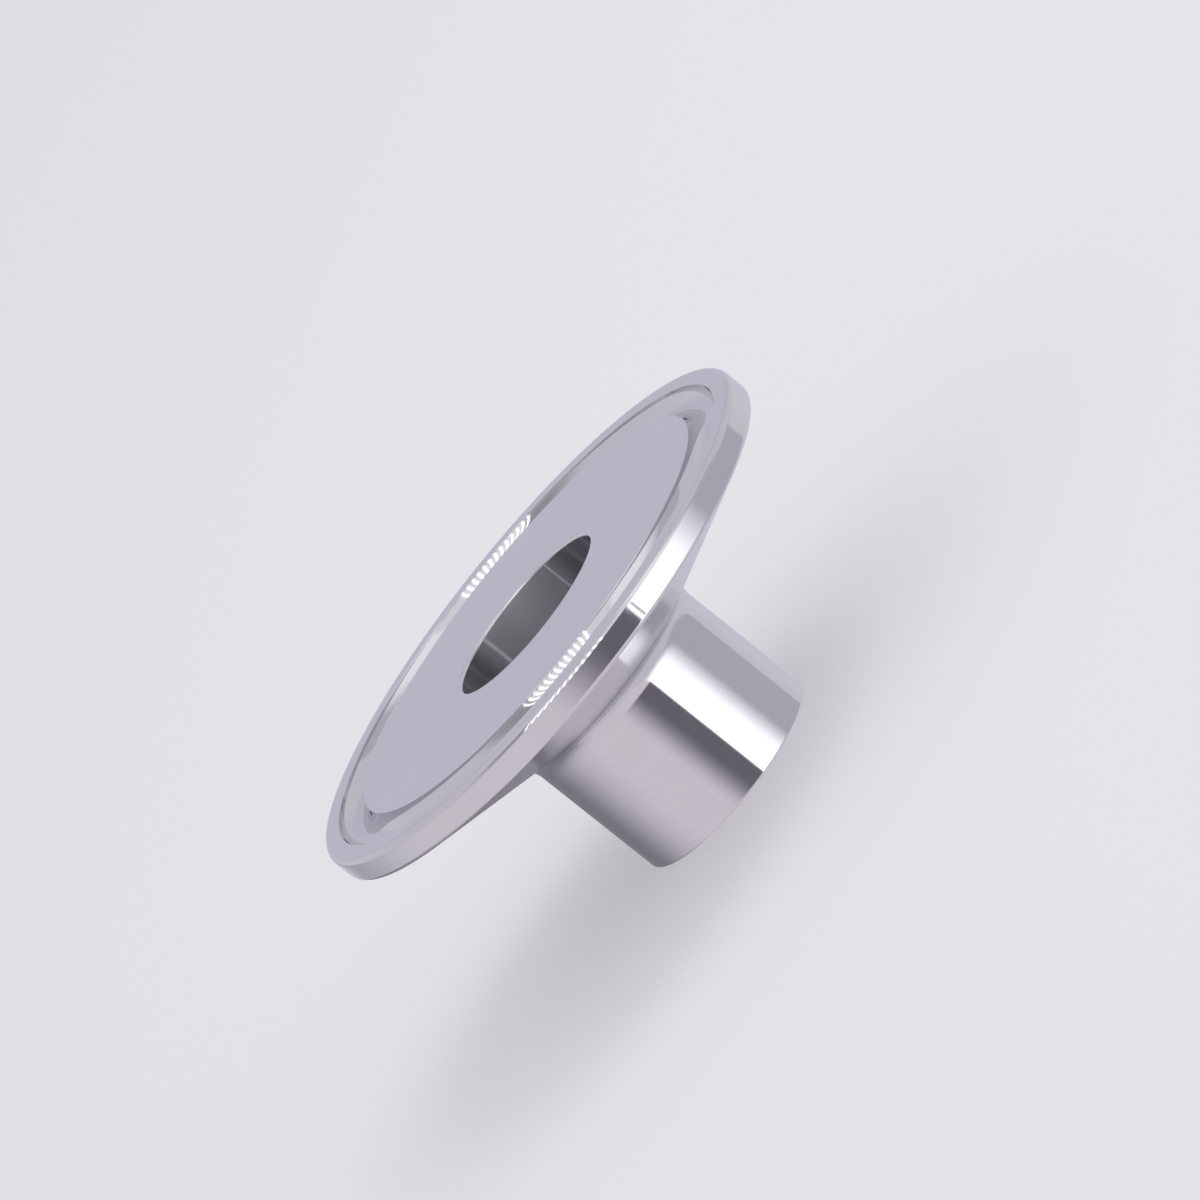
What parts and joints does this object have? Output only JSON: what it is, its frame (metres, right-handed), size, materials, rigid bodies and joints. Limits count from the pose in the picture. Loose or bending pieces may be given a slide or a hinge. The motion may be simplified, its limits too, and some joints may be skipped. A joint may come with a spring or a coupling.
{
  "type": "sanitary clamp ferrule",
  "caption": "Short round weld ferrule: a thin tube stub that widens through a 20 degree conical back into a flat sealing flange with a half-round gasket groove.",
  "frame": {"origin": "centre of the weld end, on the axis of the bore", "axes": "+Z along the axis from the weld end towards the sealing face; turned part, so X and Y are any two perpendicular radial directions"},
  "size_m": [0.0506, 0.0504, 0.0215],
  "materials": {
    "polished_steel": "mirror-polished stainless steel"
  },
  "bodies": {
    "root": {"ferrule": "polished_steel"}
  },
  "joints": []
}
